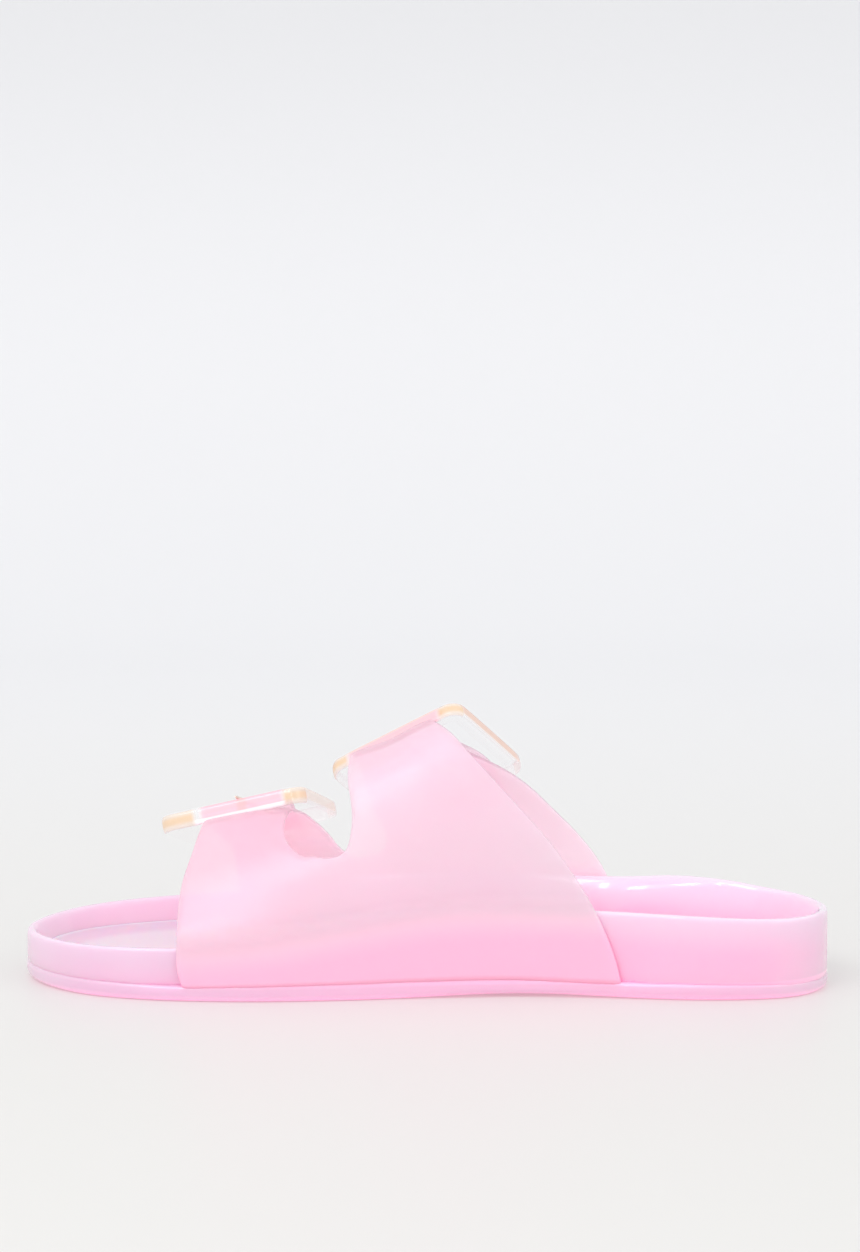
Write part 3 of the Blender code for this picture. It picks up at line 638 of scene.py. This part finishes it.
# floor swept up into a back wall
sweep = {"front": -2.5, "back": 1.6, "side": 3.0, "height": 2.5, "round": 0.8, "segments": 24, "near": 0.01}
bpy.ops.object.select_all(action="DESELECT")
bpy.ops.mesh.primitive_plane_add(size=1.0)
floor = bpy.context.object
floor.name = "paleFloor"
bpy.ops.object.mode_set(mode="EDIT")
bpy.ops.mesh.select_all(action="SELECT")
bpy.ops.transform.resize(value=(2 * sweep["side"], sweep["back"] - sweep["front"], 1.0))
bpy.ops.transform.translate(value=(0.0, (sweep["back"] + sweep["front"]) / 2, 0.0))
bpy.ops.mesh.select_all(action="DESELECT")
bpy.ops.object.mode_set(mode="OBJECT")
for edge in floor.data.edges:
    ends = [floor.data.vertices[i].co for i in edge.vertices]
    edge.select = all(p.y > sweep["back"] - sweep["near"] for p in ends)
bpy.ops.object.mode_set(mode="EDIT")
bpy.ops.mesh.select_mode(type="EDGE")
bpy.ops.mesh.extrude_edges_move(TRANSFORM_OT_translate={"value": (0.0, 0.0, sweep["height"])})
bpy.ops.object.mode_set(mode="OBJECT")
for edge in floor.data.edges:
    ends = [floor.data.vertices[i].co for i in edge.vertices]
    edge.select = all(p.y > sweep["back"] - sweep["near"] and p.z < sweep["near"] for p in ends)
bpy.ops.object.mode_set(mode="EDIT")
bpy.ops.mesh.bevel(offset=sweep["round"], segments=sweep["segments"])
bpy.ops.object.mode_set(mode="OBJECT")
bpy.ops.object.shade_smooth()

# pale paper that lifts its own shade under the shoe a little
paperLook = {
    "floor": colour(0.52, 0.515, 0.497), "glow": colour(0.225, 0.222, 0.213),
    "turnFrom": -0.1, "turnTo": 0.9,
    # painted shade: the back wall darkens towards its top
    "wall": colour(0.89, 0.89, 0.89), "high": colour(0.79, 0.79, 0.79), "wallShadeFrom": 0.12, "wallShadeTo": 0.50,
    "rough": 0.42,
}


def makePalePaper():
    f = Finish("palePaper")
    s = paperLook
    _, y, z = f.axes()
    # painted shade darkening the back wall towards its top
    wall = f.blend(f.soft(z, s["wallShadeFrom"], s["wallShadeTo"]), s["wall"], s["high"])
    turn = f.soft(y, s["turnFrom"], s["turnTo"])
    f.skin(Base_Color=f.blend(turn, s["floor"], wall), Roughness=s["rough"],
           Emission_Color=f.blend(turn, s["glow"], black), Emission_Strength=1.0)
    return f.material


floor.data.materials.append(makePalePaper())

# the photograph's view: low, from the medial side, with the sandal low in a tall frame
view = {"distance": 1.1, "elevation": 10.0, "tilt": 6.507, "target": (0.0016, -0.0069, 0.045),
        "pixels": 3450.0, "frameHeight": 1252.0, "sensor": 36.0}
lens = bpy.data.cameras.new("photoView")
lens.sensor_fit = "VERTICAL"
lens.sensor_height = view["sensor"]
lens.lens = view["pixels"] / view["frameHeight"] * view["sensor"]
camera = bpy.data.objects.new("photoView", lens)
bpy.context.scene.collection.objects.link(camera)
rise = math.radians(view["elevation"])
camera.location = Vector(view["target"]) + view["distance"] * Vector((0.0, -math.cos(rise), math.sin(rise)))
camera.rotation_euler = (math.radians(90.0 - view["tilt"]), 0.0, 0.0)
bpy.context.scene.camera = camera

# two large soft boxes, and two narrow ones that draw the gleams on straps and heel cup
softBoxes = [
    {"name": "keyBox", "at": (-0.60, -0.92, 1.19), "aim": (0.0, 0.0, 0.03),
     "wide": 0.75, "tall": 0.75, "watts": 6.6},
    {"name": "sideBox", "at": (1.20, -0.90, 0.90), "aim": (0.0, 0.0, 0.03),
     "wide": 0.80, "tall": 0.80, "watts": 2.4},
    {"name": "stripBox", "at": (-0.20, -1.20, 0.88), "aim": (0.06, 0.02, 0.03),
     "wide": 0.07, "tall": 0.42, "watts": 0.75},
    {"name": "lowBox", "at": (0.02, -1.38, 0.66), "aim": (0.06, 0.02, 0.03),
     "wide": 0.08, "tall": 0.20, "watts": 0.40},
]
for box in softBoxes:
    lamp = bpy.data.lights.new(box["name"], "AREA")
    lamp.shape = "RECTANGLE"
    lamp.size = box["wide"]
    lamp.size_y = box["tall"]
    lamp.energy = box["watts"]
    lampObject = bpy.data.objects.new(box["name"], lamp)
    bpy.context.scene.collection.objects.link(lampObject)
    lampObject.location = box["at"]
    aim = Vector(box["aim"]) - Vector(box["at"])
    lampObject.rotation_euler = aim.to_track_quat("-Z", "Y").to_euler()

studioAir = {"colour": colour(0.95, 0.955, 0.985), "strength": 1.0}
room = bpy.data.worlds.new("studioAir")
room.use_nodes = True
air = room.node_tree.nodes["Background"]
air.inputs["Color"].default_value = studioAir["colour"]
air.inputs["Strength"].default_value = studioAir["strength"]
bpy.context.scene.world = room
bpy.context.scene.view_settings.view_transform = "Standard"
print("stage ready")
